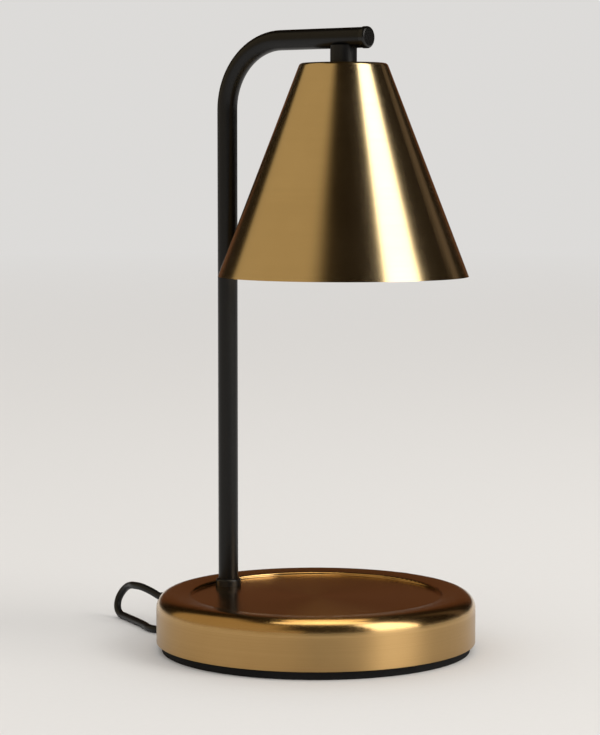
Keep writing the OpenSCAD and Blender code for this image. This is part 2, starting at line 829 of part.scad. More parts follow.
module dimmer_lower_shell() {
    feet_z = dimmer_wall / 2;
    color("#151515") at_dimmer() difference() {
        union() {
            dimmer_half(0, split_z);
            for (x = [-1, 1], y = [-1, 1]) translate([x * board_x * 0.4, y * board_y * 0.35, feet_z])
                cylinder(d = 3, h = board_z - feet_z);
        }
        at_shell_screws(-cut) cylinder(d = shell_screw_d + 2 * loose, h = dimmer_h);
        at_shell_screws(-cut) cylinder(d = shell_head_d + 2 * loose, h = shell_head_t + loose + cut);
    }
}

module dimmer_upper_shell() {
    boss_z = wheel_z + wheel_t + travel;
    roof_z = dimmer_h - dimmer_wall;
    screw_top_z = shell_head_t + loose + shell_screw_l;
    color("#151515") at_dimmer() difference() {
        union() {
            dimmer_half(split_z, dimmer_h);
            translate([0, wheel_y, boss_z]) cylinder(d = shaft_d + 3, h = roof_z - boss_z + dimmer_wall / 2);
        }
        translate([0, wheel_y, boss_z - cut]) cylinder(d = shaft_d + 2 * running, h = roof_z - boss_z + cut);
        at_shell_screws(split_z - cut) cylinder(d = shell_screw_d + 2 * fit, h = screw_top_z - split_z + cut);
    }
}

module dimmer_board() {
    block_x = 5;
    block_y = 12;
    tall_block_h = 8;
    low_block_h = 7;
    edge = board_x / 2 - block_x;
    color("#2f6b3a") at_dimmer() {
        translate([-board_x / 2, -board_y / 2, board_z]) cube([board_x, board_y, board_t]);
        translate([-edge - block_x, -board_y / 2 + 1, pot_z]) cube([block_x, block_y, tall_block_h]);
        translate([edge, board_y / 2 - 1 - block_y, pot_z]) cube([block_x, block_y, low_block_h]);
    }
}

module dimmer_pot() {
    color("#8c8c8c") at_dimmer() translate([0, wheel_y, pot_z]) difference() {
        cylinder(d = pot_d, h = pot_h);
        translate([0, 0, travel]) cylinder(d = shaft_d + 2 * running, h = pot_h);
    }
}

module dimmer_wheel() {
    color("#262626") at_dimmer() translate([0, wheel_y, wheel_z]) linear_extrude(wheel_t) difference() {
        circle(wheel_r);
        circle(d = shaft_d + 2 * fit);
        for (i = [0:wheel_grooves - 1]) rotate([0, 0, 360 * i / wheel_grooves])
            translate([wheel_r, 0]) circle(d = groove_d);
    }
}

module wheel_shaft() {
    low_z = pot_z + 2 * travel;
    high_z = dimmer_h - dimmer_wall - travel;
    color("#c9c9cc") at_dimmer() translate([0, wheel_y, low_z]) cylinder(d = shaft_d, h = high_z - low_z);
}

module dimmer_screws() {
    color("#b9b9bd") at_dimmer() at_shell_screws(shell_head_t + loose)
        cross_screw(shell_screw_d, shell_screw_l - travel, shell_head_d, shell_head_t);
}

// ---------- supply lead and plug ----------

module lead_to_dimmer() {
    color("#1a1a1a") swept_tube(dimmer_route, lead_d);
}

module lead_to_coil() {
    color("#1a1a1a") swept_tube(coil_route, lead_d);
}

module lead_coil() {
    color("#1a1a1a") rotate([0, 0, lay_turn]) translate(coil_at) rotate_extrude()
        translate([coil_r, coil_bundle / 2]) rounded_rect(coil_bundle, coil_bundle, lead_d / 2);
}

module lead_to_plug() {
    color("#1a1a1a") swept_tube(plug_route, lead_d);
}

module at_plug() {
    rotate([0, 0, lay_turn]) translate(plug_at) children();
}

module at_blades() {
    for (side = [-1, 1]) translate([side * blade_pitch / 2, 0, plug_h / 2]) children();
}

// Outline of the plug's grip from above or from the side
module plug_outline(w) {
    nose = plug_nose_d / 2 + 1;
    polygon([
        [-w / 2, 0], [w / 2, 0], [w / 2, plug_l - plug_taper_l],
        [nose, plug_l], [-nose, plug_l], [-w / 2, plug_l - plug_taper_l]
    ]);
}

module plug_body() {
    root_w = blade_w + 2 * fit;
    root_t = blade_t + 2 * fit;
    color("#1a1a1a") at_plug() difference() {
        union() {
            intersection() {
                linear_extrude(plug_h) plug_outline(plug_w);
                translate([-plug_w / 2, 0, plug_h / 2]) rotate([90, 0, 90]) linear_extrude(plug_w)
                    rotate([0, 0, -90]) mirror([1, 0]) plug_outline(plug_h);
                translate([0, 0, plug_h / 2]) rotate([-90, 0, 0]) linear_extrude(plug_l)
                    rounded_rect(plug_w, plug_h, 3);
            }
            translate([0, plug_l - 1, plug_h / 2]) rotate([-90, 0, 0])
                cylinder(d1 = plug_nose_d, d2 = plug_tip_d, h = plug_nose_l + 1);
        }
        at_blades() translate([-root_t / 2, -cut, -root_w / 2]) cube([root_t, blade_root + cut, root_w]);
    }
}

module plug_blades() {
    color("#c8a85a") at_plug() at_blades() difference() {
        translate([-blade_t / 2, -blade_l, -blade_w / 2]) cube([blade_t, blade_l + blade_root, blade_w]);
        translate([-blade_t, -blade_l + blade_hole_d, 0]) rotate([0, 90, 0])
            cylinder(d = blade_hole_d, h = 2 * blade_t);
    }
}

base_cover();
base_weight();
bottom_plate();
foot_pad();
bottom_screws();
post_nipple();
post_washer();
post_nut();
post_collar();
cord_bushing();
post_arm();
arm_cap();
stem_sleeve();
stem_nipple();
inner_lead();
conductors();
shade();
shade_washer();
holder_bracket();
stem_nut();
lampholder();
holder_contacts();
holder_screws();
bulb_base();
bulb_pins();
bulb_reflector();
bulb_lens();
bulb_capsule();
dimmer_lower_shell();
dimmer_upper_shell();
dimmer_board();
dimmer_pot();
dimmer_wheel();
wheel_shaft();
dimmer_screws();
lead_to_dimmer();
lead_to_coil();
lead_coil();
lead_to_plug();
plug_body();
plug_blades();
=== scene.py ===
import math

import bmesh
import bpy
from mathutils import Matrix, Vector


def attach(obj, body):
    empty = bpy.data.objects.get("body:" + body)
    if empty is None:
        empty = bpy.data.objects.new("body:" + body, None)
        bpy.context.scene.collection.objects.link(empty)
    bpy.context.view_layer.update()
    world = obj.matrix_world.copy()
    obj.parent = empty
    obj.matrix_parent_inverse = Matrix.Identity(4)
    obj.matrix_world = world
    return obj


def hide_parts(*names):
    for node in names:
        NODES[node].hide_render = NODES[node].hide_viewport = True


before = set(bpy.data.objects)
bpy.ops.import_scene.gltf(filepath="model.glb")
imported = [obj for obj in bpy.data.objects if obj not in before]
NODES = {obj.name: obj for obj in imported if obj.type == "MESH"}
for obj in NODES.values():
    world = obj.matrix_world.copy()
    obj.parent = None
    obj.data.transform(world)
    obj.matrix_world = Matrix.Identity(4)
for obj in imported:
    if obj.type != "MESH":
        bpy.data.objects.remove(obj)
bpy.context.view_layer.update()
MM = 0.001

# ---------- camera ----------

camera_data = bpy.data.cameras.new("camera")
camera_data.lens = 121.42
camera_data.sensor_width = 36.0
camera_data.clip_start = 0.05
camera_data.clip_end = 60.0
camera = bpy.data.objects.new("camera", camera_data)
camera.location = (0.67384, -0.93671, 0.2294)
camera.rotation_euler = (math.radians(85.21), 0.0, math.radians(36.10))
bpy.context.scene.collection.objects.link(camera)
bpy.context.scene.camera = camera

# ---------- sizes shared with the frame, in millimetres ----------

LEAD_D = 3.6
EXIT_H = 14.5
BUSHING_END_X = -71.49
BUSHING_MID_X = -82.0
BUSHING_TIP_X = -94.05
LAY_TURN = math.radians(36.0)
DIMMER_AT = (14.0, 92.0)
DIMMER_L = 64.0
SPLIT_Z = 8.0
COIL_AT = (38.0, 133.0)
COIL_R = 20.0
COIL_TURNS = 8.25
PLUG_TAIL = (-48.0, 140.0, 7.0)
SHADE_X = 15.5
SHADE_MOUTH_Z = 175.8

# The flat wire tie: where round the coil it is in degrees, its section and its loop's corners,
# then its two ends: their length, twists, distance from the twist's axis, share of the tie's
# width, and their height and arch above the loop.
TIE_TURN = 215.0
TIE_W = 3.2
TIE_T = 0.5
TIE_CORNER = 1.6
TIE_TAIL = 16.0
TIE_TWISTS = 4.5
TIE_SPREAD = 0.55
TIE_END_SHARE = 0.4
TIE_LIFT = 0.9
TIE_ARCH = 0.8

# The lead's way from the base to the dimmer, from the dimmer to the coil, and from the coil to
# the plug, each in the lead's own frame. It lies on the table at half its diameter.
LOOP_POINTS = [
    (-80.9, 60, 16.3), (-86, 64.6, 17.8), (-90.2, 70.1, 17.7), (-92.7, 76.5, 16.6),
    (-95, 80.4, 15), (-97, 82, 12.7), (-98.8, 82.1, 9.5), (-99.5, 81.2, 6.5),
    (-99.2, 79.2, 4), (-97.6, 76.2, 2), (-95.6, 72.8, 1.8), (-92.5, 66.5, 1.8),
    (-89.4, 60.2, 1.8), (-86.4, 53.9, 1.8), (-83.6, 47.5, 1.8), (-81.1, 40.9, 1.8),
    (-78.6, 37.6, 1.8), (-75.3, 35.9, 1.8), (-71.9, 36.1, 1.8), (-68.4, 38, 1.8),
    (-65.6, 41.8, 1.8), (-62.6, 48.1, 1.8), (-59.8, 54.6, 1.8), (-56.7, 60.8, 1.8),
    (-53.2, 66.9, 1.8), (-49.2, 72.6, 1.8), (-44.7, 78, 1.8), (-39.8, 82.8, 1.8),
    (-34.3, 86.9, 2.9), (-28.4, 90, 5.4),
]
COIL_IN_POINTS = [
    (54, 93, 5.5), (60, 98, 3), (63, 106, 1.8), (63, 118, 1.8), (61.6, 133, 1.8),
]
PLUG_POINTS = [
    (38, 159.7, 3.6), (26, 159.8, 2.6), (14, 158.8, 1.8), (2, 157.4, 1.8), (-10, 156.5, 1.8),
    (-22, 156, 1.8), (-31, 156, 2.2), (-38, 156, 3.5), (-44.5, 153.5, 5), (-47.8, 147.5, 6.6),
]


def laid(p):
    """A point of the lead's own frame, in the row frame, in millimetres."""
    c, s = math.cos(LAY_TURN), math.sin(LAY_TURN)
    return (p[0] * c - p[1] * s, p[0] * s + p[1] * c, p[2])


# ---------- the lead ----------


def smooth_curve(name, points, diameter):
    """A round cord along one open Bezier spline through points given in millimetres."""
    p = [Vector(q) * MM for q in points]
    curve = bpy.data.curves.new(name, "CURVE")
    curve.dimensions = "3D"
    curve.bevel_depth = 1.0
    curve.bevel_resolution = 5
    curve.resolution_u = 6
    curve.use_fill_caps = True
    spline = curve.splines.new("BEZIER")
    spline.bezier_points.add(len(p) - 1)
    for i, b in enumerate(spline.bezier_points):
        back = p[i] - p[max(i - 1, 0)]
        ahead = p[min(i + 1, len(p) - 1)] - p[i]
        way = back.normalized() * (ahead.length or 1) + ahead.normalized() * (back.length or 1)
        way = way.normalized() if way.length > 0 else ahead.normalized()
        b.handle_left_type = b.handle_right_type = "FREE"
        b.co = p[i]
        b.radius = diameter / 2 * MM
        b.handle_left = p[i] - way * (back.length or ahead.length) / 3
        b.handle_right = p[i] + way * (ahead.length or back.length) / 3
    cord = bpy.data.objects.new(name, curve)
    bpy.context.scene.collection.objects.link(cord)
    return cord, p


def coil_points():
    """The wound part of the lead: eight turns, each in its own place of a bundle three leads
    wide and three high, and a quarter turn that leaves the bundle on the outside."""
    # how far out and how far up each turn lies, in diameters of the lead
    cells = [(1, 0), (0, 0), (-1, 0), (-1, 1), (-1, 2), (0, 2), (0, 1), (1, 1), (1.867, 0.5)]
    # the points of a turn, and the share of a turn in which the lead moves to its next place
    per_turn, shift = 18, 0.22
    out = []
    for i in range(1, int(per_turn * COIL_TURNS)):
        turns = i / per_turn
        k = int(turns)
        f = min(1.0, (turns - k) / shift) if k else 1.0
        f = f * f * (3 - 2 * f)
        a, b = cells[max(k - 1, 0)], cells[k]
        r = COIL_R + LEAD_D * (a[0] + (b[0] - a[0]) * f)
        z = LEAD_D / 2 + LEAD_D * (a[1] + (b[1] - a[1]) * f)
        turn = 2 * math.pi * turns
        out.append((COIL_AT[0] + r * math.cos(turn), COIL_AT[1] + r * math.sin(turn), z))
    return out


near_lead, near_way = smooth_curve(
    "near_lead",
    [(BUSHING_END_X, 0, EXIT_H), (BUSHING_MID_X, 0, EXIT_H), (BUSHING_TIP_X, 0, EXIT_H)]
    + [laid(p) for p in LOOP_POINTS]
    + [laid((DIMMER_AT[0] - DIMMER_L / 2 - 1.5, DIMMER_AT[1], SPLIT_Z)),
       laid((DIMMER_AT[0] - DIMMER_L / 2 + 5, DIMMER_AT[1], SPLIT_Z))],
    LEAD_D,
)
far_lead, far_way = smooth_curve(
    "far_lead",
    [laid((DIMMER_AT[0] + DIMMER_L / 2 - 5, DIMMER_AT[1], SPLIT_Z)),
     laid((DIMMER_AT[0] + DIMMER_L / 2 + 1, DIMMER_AT[1], SPLIT_Z))]
    + [laid(p) for p in COIL_IN_POINTS]
    + [laid(p) for p in coil_points()]
    + [laid(p) for p in PLUG_POINTS]
    + [laid(PLUG_TAIL)],
    LEAD_D,
)


def round_vector(turn):
    """The directions out of and along a circle on the table, at an angle in radians."""
    c, n = math.cos(turn), math.sin(turn)
    return Vector((c, n, 0)), Vector((-n, c, 0))


def add_ribbon(bm, centres, sides, ups):
    """A flat ribbon through its centres, and its rings of four corners."""
    rings = []
    for c, side, up in zip(centres, sides, ups):
        ring = []
        for a, b in ((-1, -1), (1, -1), (1, 1), (-1, 1)):
            q = laid(c + side * (a * TIE_W / 2) + up * (b * TIE_T / 2))
            ring.append(bm.verts.new(Vector(q) * MM))
        rings.append(ring)
    for one, two in zip(rings, rings[1:]):
        add_band(bm, one, two)
    return rings


def add_band(bm, one, two):
    for k in range(4):
        bm.faces.new((one[k], one[(k + 1) % 4], two[(k + 1) % 4], two[k]))


def coil_tie():
    """A flat wire tie round the coil's bundle, with its two ends twisted together above it."""
    turn = math.radians(TIE_TURN)
    out, ahead = round_vector(turn)
    rise = Vector((0, 0, 1))
    # its underside lies on the table, so the loop is a little lower than the bundle
    wide, tall = 1.5 * LEAD_D + 0.1, 1.5 * LEAD_D - 0.1
    middle = Vector((*COIL_AT, tall + TIE_T / 2)) + out * COIL_R
    corner_steps, tail_steps = 6, 40

    bm = bmesh.new()
    centres, ups = [], []
    for k, (su, sv) in enumerate(((1, 1), (-1, 1), (-1, -1), (1, -1))):
        for j in range(corner_steps + 1):
            a = math.pi / 2 * (k + j / corner_steps)
            u = (wide - TIE_CORNER) * su + TIE_CORNER * math.cos(a)
            v = (tall - TIE_CORNER) * sv + TIE_CORNER * math.sin(a)
            centres.append(middle + out * u + rise * v)
            ups.append(out * math.cos(a) + rise * math.sin(a))
    rings = add_ribbon(bm, centres, [ahead] * len(centres), ups)
    add_band(bm, rings[-1], rings[0])

    # the twisted ends lie on the coil and follow its turns
    for phase in (0, math.pi):
        centres, sides, ups = [], [], []
        for j in range(tail_steps + 1):
            f = j / tail_steps
            away, along = round_vector(turn + (1 - TIE_TAIL * f) / COIL_R)
            a = phase + TIE_TWISTS * 2 * math.pi * f
            across = away * math.cos(a) + rise * math.sin(a)
            height = 2 * tall + TIE_T + TIE_LIFT + TIE_ARCH * math.sin(f * math.pi)
            spine = Vector((*COIL_AT, height)) + away * COIL_R
            centres.append(spine + across * (TIE_SPREAD * min(1.0, f * 8)))
            sides.append(across.cross(along) * TIE_END_SHARE)
            ups.append(across)
        rings = add_ribbon(bm, centres, sides, ups)
        bm.faces.new(rings[0][::-1])
        bm.faces.new(rings[-1])
    bmesh.ops.recalc_face_normals(bm, faces=bm.faces)
    mesh = bpy.data.meshes.new("coil_tie")
    bm.to_mesh(mesh)
    bm.free()
    piece = bpy.data.objects.new("coil_tie", mesh)
    bpy.context.scene.collection.objects.link(piece)
    return piece


tie = coil_tie()
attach(near_lead, "lamp")
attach(far_lead, "lamp")
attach(tie, "lamp")
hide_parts("lead_to_dimmer")
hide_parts("lead_to_coil", "lead_coil", "lead_to_plug")

# ---------- materials ----------


class Maker:
    """Builds one node material step by step."""

    def __init__(self, name):
        self.material = bpy.data.materials.new(name)
        self.material.use_nodes = True
        self.tree = self.material.node_tree
        self.tree.nodes.clear()
        self.out = self.node("ShaderNodeOutputMaterial")
        self.shader = self.node("ShaderNodeBsdfPrincipled")
        self.link(self.shader.outputs["BSDF"], self.out.inputs["Surface"])
        self.place = self.node("ShaderNodeTexCoord").outputs["Object"]

    def node(self, kind, **settings):
        n = self.tree.nodes.new(kind)
        for key, value in settings.items():
            setattr(n, key, value)
        return n

    def link(self, a, b):
        self.tree.links.new(a, b)

    def put(self, socket, value):
        if isinstance(value, bpy.types.NodeSocket):
            self.link(value, socket)
        else:
            socket.default_value = value

    def set(self, **values):
        """Numbers and colours on the shader's own sockets."""
        for key, value in values.items():
            name = key.replace("_", " ")
            socket = next(s for s in self.shader.inputs if s.name.lower() == name.lower())
            self.put(socket, value)
        return self

    def math(self, kind, a, b=0.0, c=None):
        n = self.node("ShaderNodeMath", operation=kind)
        self.put(n.inputs[0], a)
        self.put(n.inputs[1], b)
        if c is not None:
            self.put(n.inputs[2], c)
        return n.outputs[0]

    def scaled(self, vector, scale):
        n = self.node("ShaderNodeVectorMath", operation="MULTIPLY")
        self.put(n.inputs[0], vector)
        n.inputs[1].default_value = scale
        return n.outputs[0]

    def noise(self, vector, scale, detail=2.0, roughness=0.5):
        n = self.node("ShaderNodeTexNoise")
        self.put(n.inputs["Vector"], vector)
        n.inputs["Scale"].default_value = scale
        n.inputs["Detail"].default_value = detail
        n.inputs["Roughness"].default_value = roughness
        return n.outputs["Fac"]

    def spread(self, value, wall_rough_and_shade, high, to_low=0.0, to_high=1.0):
        n = self.node("ShaderNodeMapRange", clamp=True)
        self.put(n.inputs["Value"], value)
        n.inputs["From Min"].default_value = wall_rough_and_shade
        n.inputs["From Max"].default_value = high
        n.inputs["To Min"].default_value = to_low
        n.inputs["To Max"].default_value = to_high
        return n.outputs["Result"]

    def mix(self, share, a, b):
        n = self.node("ShaderNodeMix", data_type="RGBA")
        self.put(n.inputs["Factor"], share)
        self.put(n.inputs[6], a)
        self.put(n.inputs[7], b)
        return n.outputs[2]

    def bump(self, height, strength, distance):
        n = self.node("ShaderNodeBump")
        n.inputs["Strength"].default_value = strength
        n.inputs["Distance"].default_value = distance
        self.put(n.inputs["Height"], height)
        self.link(n.outputs["Normal"], self.shader.inputs["Normal"])


def radius(m, x, y):
    return m.math("SQRT", m.math("ADD", m.math("MULTIPLY", x, x), m.math("MULTIPLY", y, y)))


def turned(m, axis_x):
    """Coordinates that change little round a vertical axis and fast along the turned line, and
    the height."""
    squeeze = 0.01
    split = m.node("ShaderNodeSeparateXYZ")
    m.link(m.place, split.inputs[0])
    x = m.math("SUBTRACT", split.outputs["X"], axis_x)
    y, z = split.outputs["Y"], split.outputs["Z"]
    turn = m.math("ARCTAN2", y, x)
    join = m.node("ShaderNodeCombineXYZ")
    m.put(join.inputs[0], m.math("MULTIPLY", m.math("SINE", turn), squeeze))
    m.put(join.inputs[1], m.math("MULTIPLY", m.math("COSINE", turn), squeeze))
    m.put(join.inputs[2], m.math("SUBTRACT", z, radius(m, x, y)))
    return join.outputs[0], z


def blend_of(m, one, share, two):
    """share of one noise and the rest of another."""
    return m.math("ADD", m.math("MULTIPLY", one, share), m.math("MULTIPLY", two, 1 - share))


def plain(colour, times=1.0, plus=0.0):
    """A colour with its alpha, lightened or darkened."""
    return (*[min(1.0, c * times + plus) for c in colour], 1)


def brushed_brass(name, axis_x, dark, light, rough, stretch, lines, wall=None):
    """Turned brass with fine lines round its axis, a few deeper ones, and slow changes of tone.
    wall is the height in mm where an upright wall starts, where it is wholly brushed rougher than
    the rolled rim above it, and how much rougher. Down the wall the brass also blends into a
    darker copy of itself, which is painted shade."""
    m = Maker(name)
    ring, z = turned(m, axis_x)
    fine = m.noise(m.scaled(ring, (40, 40, 9000)), 1.0, 3.0, 0.6)
    deep = m.noise(m.scaled(ring, (120, 120, 2400)), 1.0, 2.0, 0.5)
    slow = m.noise(m.place, 22.0, 3.0, 0.55)
    tone = m.spread(blend_of(m, fine, 0.6, slow), 0.35, 0.65)
    brass = m.mix(tone, plain(dark), plain(light))
    worn = m.spread(blend_of(m, fine, 0.5, slow), 0.3, 0.7, rough - 0.03, rough + 0.04)
    if wall:
        top, foot, extra = wall
        wall_rough_and_shade = m.spread(z, foot * MM, top * MM, 1.0, 0.0)
        worn = m.math("ADD", worn, m.math("MULTIPLY", wall_rough_and_shade, extra))
        # painted shade: down the wall the brass blends into a darker copy of itself
        brass = m.mix(wall_rough_and_shade, brass, m.mix(0.8, plain(dark, 0.72), brass))
    m.set(base_color=brass, metallic=1.0, roughness=worn)
    m.set(anisotropic=stretch, anisotropic_rotation=0.25)
    tangent = m.node("ShaderNodeTangent", direction_type="RADIAL", axis="Z")
    m.link(tangent.outputs[0], m.shader.inputs["Tangent"])
    m.bump(blend_of(m, fine, 0.7, deep), lines, 0.0002)
    return m.material


def painted(name, colour, rough, grain, gloss=0.35):
    """Satin paint with a faint orange peel."""
    m = Maker(name)
    fine = m.noise(m.place, grain, 2.0, 0.5)
    slow = m.noise(m.place, 30.0, 2.0, 0.5)
    m.set(base_color=m.mix(m.spread(slow, 0.3, 0.7), plain(colour), plain(colour, 1.35)))
    m.set(roughness=m.spread(fine, 0.3, 0.7, rough - 0.05, rough + 0.06), specular_ior_level=gloss)
    m.bump(fine, 0.12, 0.0002)
    return m.material


def plastic(name, colour, rough, grain=900.0, gloss=0.4, bump=0.15):
    """Moulded plastic, rubber or glazed ceramic with a fine grain and a slow change of tone."""
    m = Maker(name)
    fine = m.noise(m.place, grain, 3.0, 0.6)
    slow = m.noise(m.place, 40.0, 2.0, 0.5)
    light = plain(colour, 1.25, 0.002)
    m.set(base_color=m.mix(m.spread(slow, 0.3, 0.7), plain(colour), light))
    m.set(roughness=m.spread(fine, 0.3, 0.7, rough - 0.08, rough + 0.08), specular_ior_level=gloss)
    m.bump(fine, bump, 0.0003)
    return m.material


def metal(name, dark, light, rough, grain=300.0):
    """Plated, cast or bare metal with a fine grain."""
    m = Maker(name)
    fine = m.noise(m.place, grain, 4.0, 0.6)
    m.set(base_color=m.mix(m.spread(fine, 0.3, 0.7), plain(dark), plain(light)), metallic=1.0)
    m.set(roughness=m.spread(fine, 0.3, 0.7, rough - 0.08, rough + 0.08))
    m.bump(fine, 0.08, 0.0002)
    return m.material


def glass(name, tint, rough, facets):
    """Clear glass with a fine pattern of facets pressed into it."""
    m = Maker(name)
    cells = m.node("ShaderNodeTexVoronoi", feature="SMOOTH_F1")
    m.link(m.place, cells.inputs["Vector"])
    cells.inputs["Scale"].default_value = facets
    far = m.spread(cells.outputs["Distance"], 0, 1)
    m.set(base_color=m.mix(far, plain(tint), plain(tint, 1.05)))
    m.set(roughness=rough, transmission_weight=0.9, ior=1.5)
    m.bump(cells.outputs["Distance"], 0.5, 0.0006)
    return m.material


shade_brass = brushed_brass(
    "brushed_brass_shade", SHADE_X * MM, (0.66, 0.505, 0.275), (0.76, 0.595, 0.335),
    rough=0.20, stretch=0.6, lines=0.03)
base_brass = brushed_brass(
    "brushed_brass_base", 0.0, (0.50, 0.315, 0.125), (0.62, 0.405, 0.175),
    rough=0.19, stretch=0.8, lines=0.04, wall=(23.0, 18.0, 0.20))
black_paint = painted("satin_black_paint", (0.0022, 0.0020, 0.0019), 0.32, 2600.0, 0.30)
cap_paint = painted("satin_black_cap", (0.0026, 0.0023, 0.0021), 0.26, 2200.0, 0.40)
collar_black = plastic("collar_black", (0.005, 0.0045, 0.004), 0.35)
pad_rubber = plastic("foot_pad_foam", (0.006, 0.006, 0.006), 0.85, 1400.0, 0.2, 0.6)
lead_black = plastic("lead_black", (0.0035, 0.0035, 0.0038), 0.42, 1800.0, 0.35, 0.1)
moulded_black = plastic("moulded_black", (0.010, 0.010, 0.011), 0.45, 1500.0, 0.4, 0.3)
wheel_black = plastic("wheel_black", (0.02, 0.02, 0.021), 0.5, 1500.0, 0.4, 0.2)
grey_plastic = plastic("grey_plastic", (0.18, 0.18, 0.18), 0.5)
board_green = plastic("board_green", (0.02, 0.12, 0.04), 0.4, 600.0)
wire_sleeve = plastic("wire_sleeve", (0.70, 0.65, 0.52), 0.45, 1200.0, 0.4, 0.1)
ceramic = plastic("glazed_ceramic", (0.74, 0.70, 0.62), 0.35, 700.0, 0.5, 0.1)
zinc = metal("zinc_plated_steel", (0.45, 0.45, 0.46), (0.62, 0.61, 0.58), 0.35)
cast_iron = metal("cast_iron", (0.05, 0.05, 0.052), (0.12, 0.12, 0.12), 0.62, 900.0)
copper = metal("copper_contact", (0.62, 0.30, 0.17), (0.80, 0.42, 0.26), 0.3)
nickel = metal("nickel", (0.55, 0.52, 0.46), (0.70, 0.67, 0.60), 0.25)
blade_brass = metal("blade_brass", (0.62, 0.46, 0.20), (0.78, 0.60, 0.30), 0.25)
reflector = metal("dichroic_reflector", (0.62, 0.63, 0.68), (0.86, 0.86, 0.88), 0.15, 500.0)
clear_glass = glass("pressed_glass", (0.93, 0.95, 0.95), 0.08, 420.0)
capsule_glass = glass("frosted_capsule", (0.95, 0.94, 0.90), 0.35, 900.0)

BY_NODE = {
    "base_cover": base_brass, "base_weight": cast_iron, "bottom_plate": zinc,
    "foot_pad": pad_rubber, "bottom_screws": zinc, "post_nipple": zinc, "post_washer": zinc,
    "post_nut": zinc, "post_collar": collar_black, "cord_bushing": lead_black,
    "post_arm": black_paint, "arm_cap": cap_paint, "stem_sleeve": black_paint,
    "stem_nipple": zinc, "inner_lead": lead_black, "conductors": wire_sleeve,
    "shade": shade_brass, "shade_washer": zinc, "holder_bracket": zinc, "stem_nut": zinc,
    "lampholder": ceramic, "holder_contacts": copper, "holder_screws": zinc,
    "bulb_base": ceramic, "bulb_pins": nickel, "bulb_reflector": reflector,
    "bulb_lens": clear_glass, "bulb_capsule": capsule_glass,
    "dimmer_lower_shell": moulded_black, "dimmer_upper_shell": moulded_black,
    "dimmer_board": board_green, "dimmer_pot": grey_plastic, "dimmer_wheel": wheel_black,
    "wheel_shaft": zinc, "dimmer_screws": zinc, "plug_body": moulded_black,
    "plug_blades": blade_brass,
}
for node, material in BY_NODE.items():
    mesh = NODES[node].data
    mesh.materials.clear()
    mesh.materials.append(material)
for piece in (near_lead, far_lead, tie):
    piece.data.materials.append(lead_black)

# ---------- floor, backdrop and light ----------

# the directions on the floor to the right and to the front of the camera's view
RIGHT = (0.812, 0.584)
FRONT = (0.584, -0.812)
FLOOR_R = 14.0
FLOOR_FADE = (1.2, 5.0)
DOME_R = 5.0

FLOOR_TONE = (0.72, 0.708, 0.692)
DARK_CLOTH = (0.015, 0.010, 0.005)
TAN_PANEL = (0.475, 0.372, 0.220)
KEY_PANEL = (3.6, 3.45, 3.25)
EDGE_PANEL = (0.12, 0.095, 0.075)
BACK_GLOW = (0.100, 0.040, 0.018)

# The panels that the gloss of things shows, in degrees: azimuth from the front, positive to the
# right, and height above the floor, each as low, high and the softness of both edges.
PANELS = [
    ((-125, -9, 3, 1.5), (4, 27, 2, 4), TAN_PANEL),
    ((-125, -27, 3, 13), (27, 62, 4, 6), TAN_PANEL),
    ((42.5, 79.5, 3, 3), (9, 62, 3, 6), KEY_PANEL),
    ((123, 134, 2, 2), (5, 50, 3, 6), EDGE_PANEL),
    ((154, 222, 8, 6), (3, 30, 2, 10), BACK_GLOW),
    ((-222, -154, 6, 8), (3, 30, 2, 10), BACK_GLOW),
    ((-181, 181, 1, 1), (-5, 1.6, 1, 0.6), FLOOR_TONE),
]


def stage_object(name, mesh):
    o = bpy.data.objects.new(name, mesh)
    bpy.context.scene.collection.objects.link(o)
    return o


def floor():
    """A pale round floor, which turns into an even pale tone far from the lamp."""
    bm = bmesh.new()
    bmesh.ops.create_circle(bm, cap_ends=True, radius=FLOOR_R, segments=96)
    mesh = bpy.data.meshes.new("floor")
    bm.to_mesh(mesh)
    bm.free()
    m = Maker("pale_floor")
    grain = m.noise(m.place, 300.0, 2.0, 0.5)
    tone = m.mix(m.spread(grain, 0.3, 0.7), plain(FLOOR_TONE, 0.99), plain(FLOOR_TONE))
    m.set(base_color=tone, roughness=0.9, specular_ior_level=0.1)
    far = m.node("ShaderNodeEmission")
    far.inputs["Color"].default_value = plain(FLOOR_TONE)
    far.inputs["Strength"].default_value = 1.0
    split = m.node("ShaderNodeSeparateXYZ")
    m.link(m.place, split.inputs[0])
    r = radius(m, split.outputs["X"], split.outputs["Y"])
    blend = m.node("ShaderNodeMixShader")
    m.put(blend.inputs[0], m.spread(r, *FLOOR_FADE))
    m.link(m.shader.outputs[0], blend.inputs[1])
    m.link(far.outputs[0], blend.inputs[2])
    m.link(blend.outputs[0], m.out.inputs["Surface"])
    mesh.materials.append(m.material)
    return stage_object("floor", mesh)


